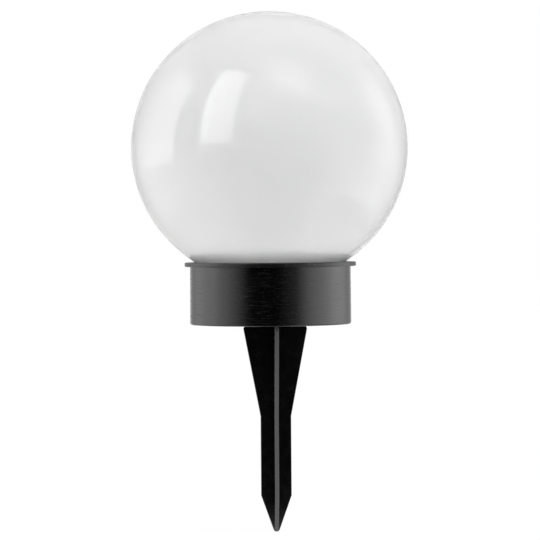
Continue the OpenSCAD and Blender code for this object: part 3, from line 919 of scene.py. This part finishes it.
@dataclass
class Piece:
    """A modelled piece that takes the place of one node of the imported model.

    Attributes:
        node: The node that the piece stands for.
        body: The body that it moves with.
        slot: The record's material slot.
        name: The piece's name.
    """

    node: str
    body: Body
    slot: str
    name: str

    def __post_init__(self) -> None:
        """Reads where the node is."""
        self.low, self.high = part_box(self.node)

    def model(self) -> Object:
        """Models the piece.

        Returns:
            The finished mesh object, at the origin.
        """
        raise NotImplementedError

    def build(self, materials: dict[str, Material]) -> Object:
        """Models the piece, dresses it, moves it with its body and hides the node it stands for.

        Args:
            materials: The materials by slot.

        Returns:
            The piece.
        """
        piece = self.model()
        piece.data.materials.clear()
        piece.data.materials.append(materials[self.slot])
        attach(piece, self.body.value)
        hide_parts(self.node)
        log.info("%s: %d faces", piece.name, len(piece.data.polygons))
        return piece


@dataclass
class Ball(Piece):
    """The opal ball: a thin shell, cut off over its neck, with a thread on the neck.

    Attributes:
        wall: The shell's wall.
        shoulder: The radius where the ball meets the flange.
        neck: The neck's radius.
        flange_z: The height of the flange's top.
        rim: The rounding of the shell's sharp edges.
        rim_sharp: The degrees that such an edge turns at least.
        segments: Points round the ball.
        smooth_below: The degrees below which its edges are smoothed.
        pitch: The thread's rise in one turn.
        turns: The thread's turns.
        turn_steps: Straight pieces in one turn of the thread.
        thread_low: The height of the thread's lower end over the neck's.
        ridge_height: How far the thread stands out.
        ridge_root: How deep it reaches into the neck, as a share of its height.
        ridge_width: The thread's width at its foot.
        ridge_crest: Its width on top, as a share of that at its foot.
    """

    node: str = "globe"
    body: Body = Body.BALL
    slot: str = "opal"
    name: str = "ball"
    wall: float = 0.0025
    shoulder: float = 0.0543
    neck: float = 0.0513
    flange_z: float = 0.045
    rim: float = 0.35 * MM
    rim_sharp: float = 40.0
    segments: int = 192
    smooth_below: float = 40.0
    pitch: float = 0.004
    turns: float = 1.8
    turn_steps: int = 60
    thread_low: float = 0.001
    ridge_height: float = 0.0012
    ridge_root: float = 0.5
    ridge_width: float = 0.0014
    ridge_crest: float = 0.5

    def model(self) -> Object:
        """Cuts a sphere over its neck, draws the neck down and gives the shell its wall.

        Returns:
            The ball with its neck and thread.
        """
        radius = max(self.high.x - self.low.x, self.high.y - self.low.y) / 2
        drop = math.sqrt(1.0 - (self.shoulder / radius) ** 2)
        half = (self.high.z - self.flange_z) / (1.0 + drop)
        bpy.ops.mesh.primitive_uv_sphere_add(
            segments=self.segments, ring_count=self.segments // 2, radius=radius,
            location=(0.0, 0.0, self.high.z - half))
        ball = named(self.name)
        ball.scale.z = half / radius
        settle(ball)
        middle = (0.0, 0.0, self.flange_z)
        with editing(ball, whole=True):
            bpy.ops.mesh.bisect(plane_co=middle, plane_no=UP, clear_inner=True)
        pick(ball, lambda p: p.z < self.flange_z + NEAR)
        with editing(ball):
            bpy.ops.mesh.extrude_edges_move()
            share = self.neck / self.shoulder
            bpy.ops.transform.resize(value=(share, share, 1.0), center_override=middle)
            bpy.ops.mesh.extrude_edges_move(TRANSFORM_OT_translate={
                "value": (0.0, 0.0, self.low.z - self.flange_z)})
        tidy(ball)
        apply_modifier(ball, "SOLIDIFY", thickness=self.wall, offset=-1.0, use_even_offset=True)
        round_edges(ball, self.rim, 3, self.rim_sharp)
        ridge = self.thread()
        select_only(ball)
        ridge.select_set(True)
        bpy.ops.object.join()
        tidy(ball, self.smooth_below)
        return ball

    def thread(self) -> Object:
        """The ridge that winds round the neck, closed at both ends.

        Returns:
            The ridge.
        """
        bpy.ops.mesh.primitive_plane_add(size=1.0, rotation=(math.radians(90.0), 0.0, 0.0))
        ridge = named("thread")
        ridge.scale = (self.ridge_height * (1.0 + self.ridge_root), self.ridge_width, 1.0)
        settle(ridge)
        pick(ridge, lambda p: p.x > 0.0)
        with editing(ridge):
            bpy.ops.transform.resize(value=(1.0, 1.0, self.ridge_crest),
                                     center_override=(0.0, 0.0, 0.0))
        ridge.location = (self.neck + self.ridge_height * (1.0 - self.ridge_root) / 2, 0.0,
                          self.low.z + self.thread_low)
        settle(ridge)
        steps = int(self.turn_steps * self.turns)
        apply_modifier(ridge, "SCREW", axis="Z", angle=math.radians(360.0 * self.turns),
                       screw_offset=self.pitch * self.turns, steps=steps, render_steps=steps,
                       use_smooth_shade=True)
        with editing(ridge, whole=True):
            bpy.ops.mesh.fill_holes(sides=4)
        return ridge


@dataclass
class Stake(Piece):
    """The ground stake: two crossed pairs of blades, a seat disc and a cross-shaped plug.

    Attributes:
        axis_x: The stake's axis, to the right of the collar's.
        blade: The blades' thickness.
        top_half: Half the width across two blades at their top.
        low_half: Half the width below the kink.
        top_z: The blades' top.
        kink_z: The kink's height.
        point_z: Where the point starts.
        tip_z: The centre of the tip's rounding.
        tip: The tip's radius.
        tip_round: The share of that radius by which its corners are rounded.
        corner: The radius of the blades' top corners.
        edge: The rounding along the blades' edges.
        edge_steps: The number of faces across the long edges' roundings.
        seat: The seat disc's radius.
        seat_top: The height of the disc's top.
        seat_edge: The rounding of the disc's rim.
        seat_steps: Points round the disc.
        plug_half: Half the plug's width.
        plug_top: The plug's top.
        plug_lead: The lead-in at the plug's top.
        plug_edge: The rounding along the plug's edges.
        groove: The radius of the small groove at the top of each blade's edge.
        groove_in: How far its middle lies inside the blades' edge.
        groove_length: The length of the pin that cuts it.
        groove_drop: How far the pin's middle lies below the blades' top.
        flat_below: The degrees below which an outline's corner is left out.
        smooth_below: The degrees below which the stake's edges are smoothed.
        mark: The attribute that is 1 on the blades' narrow edges, where the finish paints a
            highlight.
        mark_facing: The least share of an edge face's normal that points outwards.
        mark_out: The least distance of an edge face from the axis.
    """

    node: str = "stake"
    body: Body = Body.STAKE
    slot: str = "stake_black"
    name: str = "ground_stake"
    axis_x: float = 0.0032
    blade: float = 0.003
    top_half: float = 0.0235
    low_half: float = 0.01105
    top_z: float = -0.001
    kink_z: float = -0.0666
    point_z: float = -0.124
    tip_z: float = -0.1485
    tip: float = 0.0017
    tip_round: float = 0.98
    corner: float = 0.003
    edge: float = 0.0004
    edge_steps: int = 5
    seat: float = 0.013
    seat_top: float = 0.0012
    seat_edge: float = 0.3 * MM
    seat_steps: int = 96
    plug_half: float = 0.011
    plug_top: float = 0.0162
    plug_lead: float = 0.0015
    plug_edge: float = 0.2 * MM
    groove: float = 0.0006
    groove_in: float = 0.7 * MM
    groove_length: float = 0.006
    groove_drop: float = 0.0006
    flat_below: float = 0.5
    smooth_below: float = 50.0
    mark: str = "edge_highlight_face"
    mark_facing: float = 0.4
    mark_out: float = 0.00136

    def model(self) -> Object:
        """Crosses two blades and two plug plates and sets the seat disc between them.

        Returns:
            The stake.
        """
        stake = self.crossed(self.blades(), self.name)
        combine(stake, self.disc(), "UNION")
        combine(stake, self.crossed(self.plug(), "plug"), "UNION")
        tidy(stake, self.smooth_below)
        self.mark_edges(stake)
        stake.location.x = self.axis_x
        settle(stake)
        return stake

    def groove_tool(self, side: float) -> Object:
        """The round pin that cuts the groove at the top of one blade's edge.

        Args:
            side: 1 for the blade towards +X and -1 for the other one.

        Returns:
            The pin.
        """
        bpy.ops.mesh.primitive_cylinder_add(
            vertices=24, radius=self.groove, depth=self.groove_length,
            location=(side * (self.top_half - self.groove_in), 0.0,
                      self.top_z - self.groove_drop))
        pin = named("groove_pin")
        settle(pin)
        return pin

    def mark_edges(self, stake: Object) -> None:
        """Marks the faces that close the blades' narrow sides, for the finish's painted highlight.

        Args:
            stake: The stake, with its axis at the origin.
        """
        mesh = stake.data
        layer = mesh.attributes.new(self.mark, "FLOAT", "FACE")
        for face in mesh.polygons:
            middle, way = face.center, face.normal
            facing = way.x if abs(middle.x) > abs(middle.y) else way.y
            outside = max(abs(middle.x), abs(middle.y)) > self.mark_out
            narrow = abs(facing) > self.mark_facing and outside and middle.z < self.top_z
            layer.data[face.index].value = float(narrow)

    def plate(self, name: str, rows: Sequence[Pair]) -> Object:
        """A flat outline that is drawn down row by row.

        Args:
            name: The plate's name.
            rows: Half width and height of each row, from the top down.

        Returns:
            The outline, as flat faces in the XZ plane.
        """
        (half, top), (next_half, low) = rows[0], rows[1]
        bpy.ops.mesh.primitive_plane_add(size=1.0, rotation=(math.radians(90.0), 0.0, 0.0),
                                         location=(0.0, 0.0, (top + low) / 2))
        plate = named(name)
        plate.scale = (2.0 * half, top - low, 1.0)
        settle(plate)
        pick(plate, lambda p: p.z < low + NEAR)
        with editing(plate):
            bpy.ops.transform.resize(value=(next_half / half, 1.0, 1.0),
                                     center_override=(0.0, 0.0, low))
            for (last_half, last), (half, z) in zip(rows[1:], rows[2:]):
                bpy.ops.mesh.extrude_edges_move(TRANSFORM_OT_translate={
                    "value": (0.0, 0.0, z - last)})
                bpy.ops.transform.resize(value=(half / last_half, 1.0, 1.0),
                                         center_override=(0.0, 0.0, z))
        return plate

    def thicken(self, plate: Object, rounding: float) -> None:
        """Gives a flat outline its thickness and rounds its long edges.

        Args:
            plate: The flat outline.
            rounding: The radius of the edges.
        """
        with editing(plate, whole=True):
            bpy.ops.mesh.dissolve_limited(angle_limit=math.radians(self.flat_below))
        apply_modifier(plate, "SOLIDIFY", thickness=self.blade, offset=0.0)
        tidy(plate)
        round_edges(plate, rounding, self.edge_steps)

    def blades(self) -> Object:
        """One pair of blades in the XZ plane.

        Returns:
            The pair, with its corners, tip and edges rounded and its grooves cut.
        """
        end = self.tip_z - self.tip
        rows = [(self.top_half, self.top_z), (self.low_half, self.kink_z),
                (self.low_half, self.point_z), (self.tip, end)]
        pair = self.plate("blades", rows)
        for radius, z in ((self.corner, self.top_z), (self.tip * self.tip_round, end)):
            pick(pair, lambda p: abs(p.z - z) < NEAR)
            with editing(pair):
                bpy.ops.mesh.bevel(offset=radius, segments=6, affect="VERTICES")
        self.thicken(pair, self.edge)
        for side in (1.0, -1.0):
            combine(pair, self.groove_tool(side), "DIFFERENCE")
        return pair

    def plug(self) -> Object:
        """One plate of the plug, with its lead-in.

        Returns:
            The plate.
        """
        rows = [(self.plug_half - self.plug_lead, self.plug_top),
                (self.plug_half, self.plug_top - self.plug_lead), (self.plug_half, self.top_z)]
        plate = self.plate("plug_plate", rows)
        self.thicken(plate, self.plug_edge)
        return plate

    @staticmethod
    def crossed(plate: Object, name: str) -> Object:
        """Joins a plate to its copy at a right angle.

        Args:
            plate: The plate, which is used up.
            name: The cross's name.

        Returns:
            The cross.
        """
        twin = plate.copy()
        twin.data = plate.data.copy()
        twin.data.transform(Matrix.Rotation(math.radians(90.0), 4, "Z"))
        bpy.context.scene.collection.objects.link(twin)
        combine(plate, twin, "UNION")
        plate.name = name
        plate.data.name = name
        return plate

    def disc(self) -> Object:
        """The seat disc, with a small rounding round its rim.

        Returns:
            The disc.
        """
        height = self.seat_top - self.top_z
        bpy.ops.mesh.primitive_cylinder_add(vertices=self.seat_steps, radius=self.seat,
                                            depth=height,
                                            location=(0.0, 0.0, self.top_z + height / 2))
        disc = named("seat_disc")
        settle(disc)
        round_edges(disc, self.seat_edge, 3)
        return disc


@dataclass
class PathLight:
    """The whole light: the modelled pieces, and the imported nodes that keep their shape.

    Attributes:
        pieces: The pieces that take the place of nodes.
        materials: The materials by slot.
    """

    pieces: list[Piece] = field(default_factory=lambda: [Stake(), Ball()])
    materials: dict[str, Material] = field(default_factory=dict)

    def build(self) -> None:
        """Makes the materials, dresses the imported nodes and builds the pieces."""
        self.materials = {name: finish.build() for name, finish in FINISHES.items()}
        slots = {row["node"]: row["material_slot"] for row in frame["record"]["subparts"]}
        for name, node in frame["nodes"].items():
            for holder in node.material_slots:
                holder.material = self.materials[slots[name]]
        log.info("dressed %d packed nodes", len(frame["nodes"]))
        for piece in self.pieces:
            piece.build(self.materials)


def main() -> None:
    """Builds the camera, the studio and the light, in this order."""
    logging.basicConfig(level=logging.INFO, format="%(message)s")
    PhotoCamera().build()
    Studio().build()
    PathLight().build()


if __name__ == "__main__":
    main()
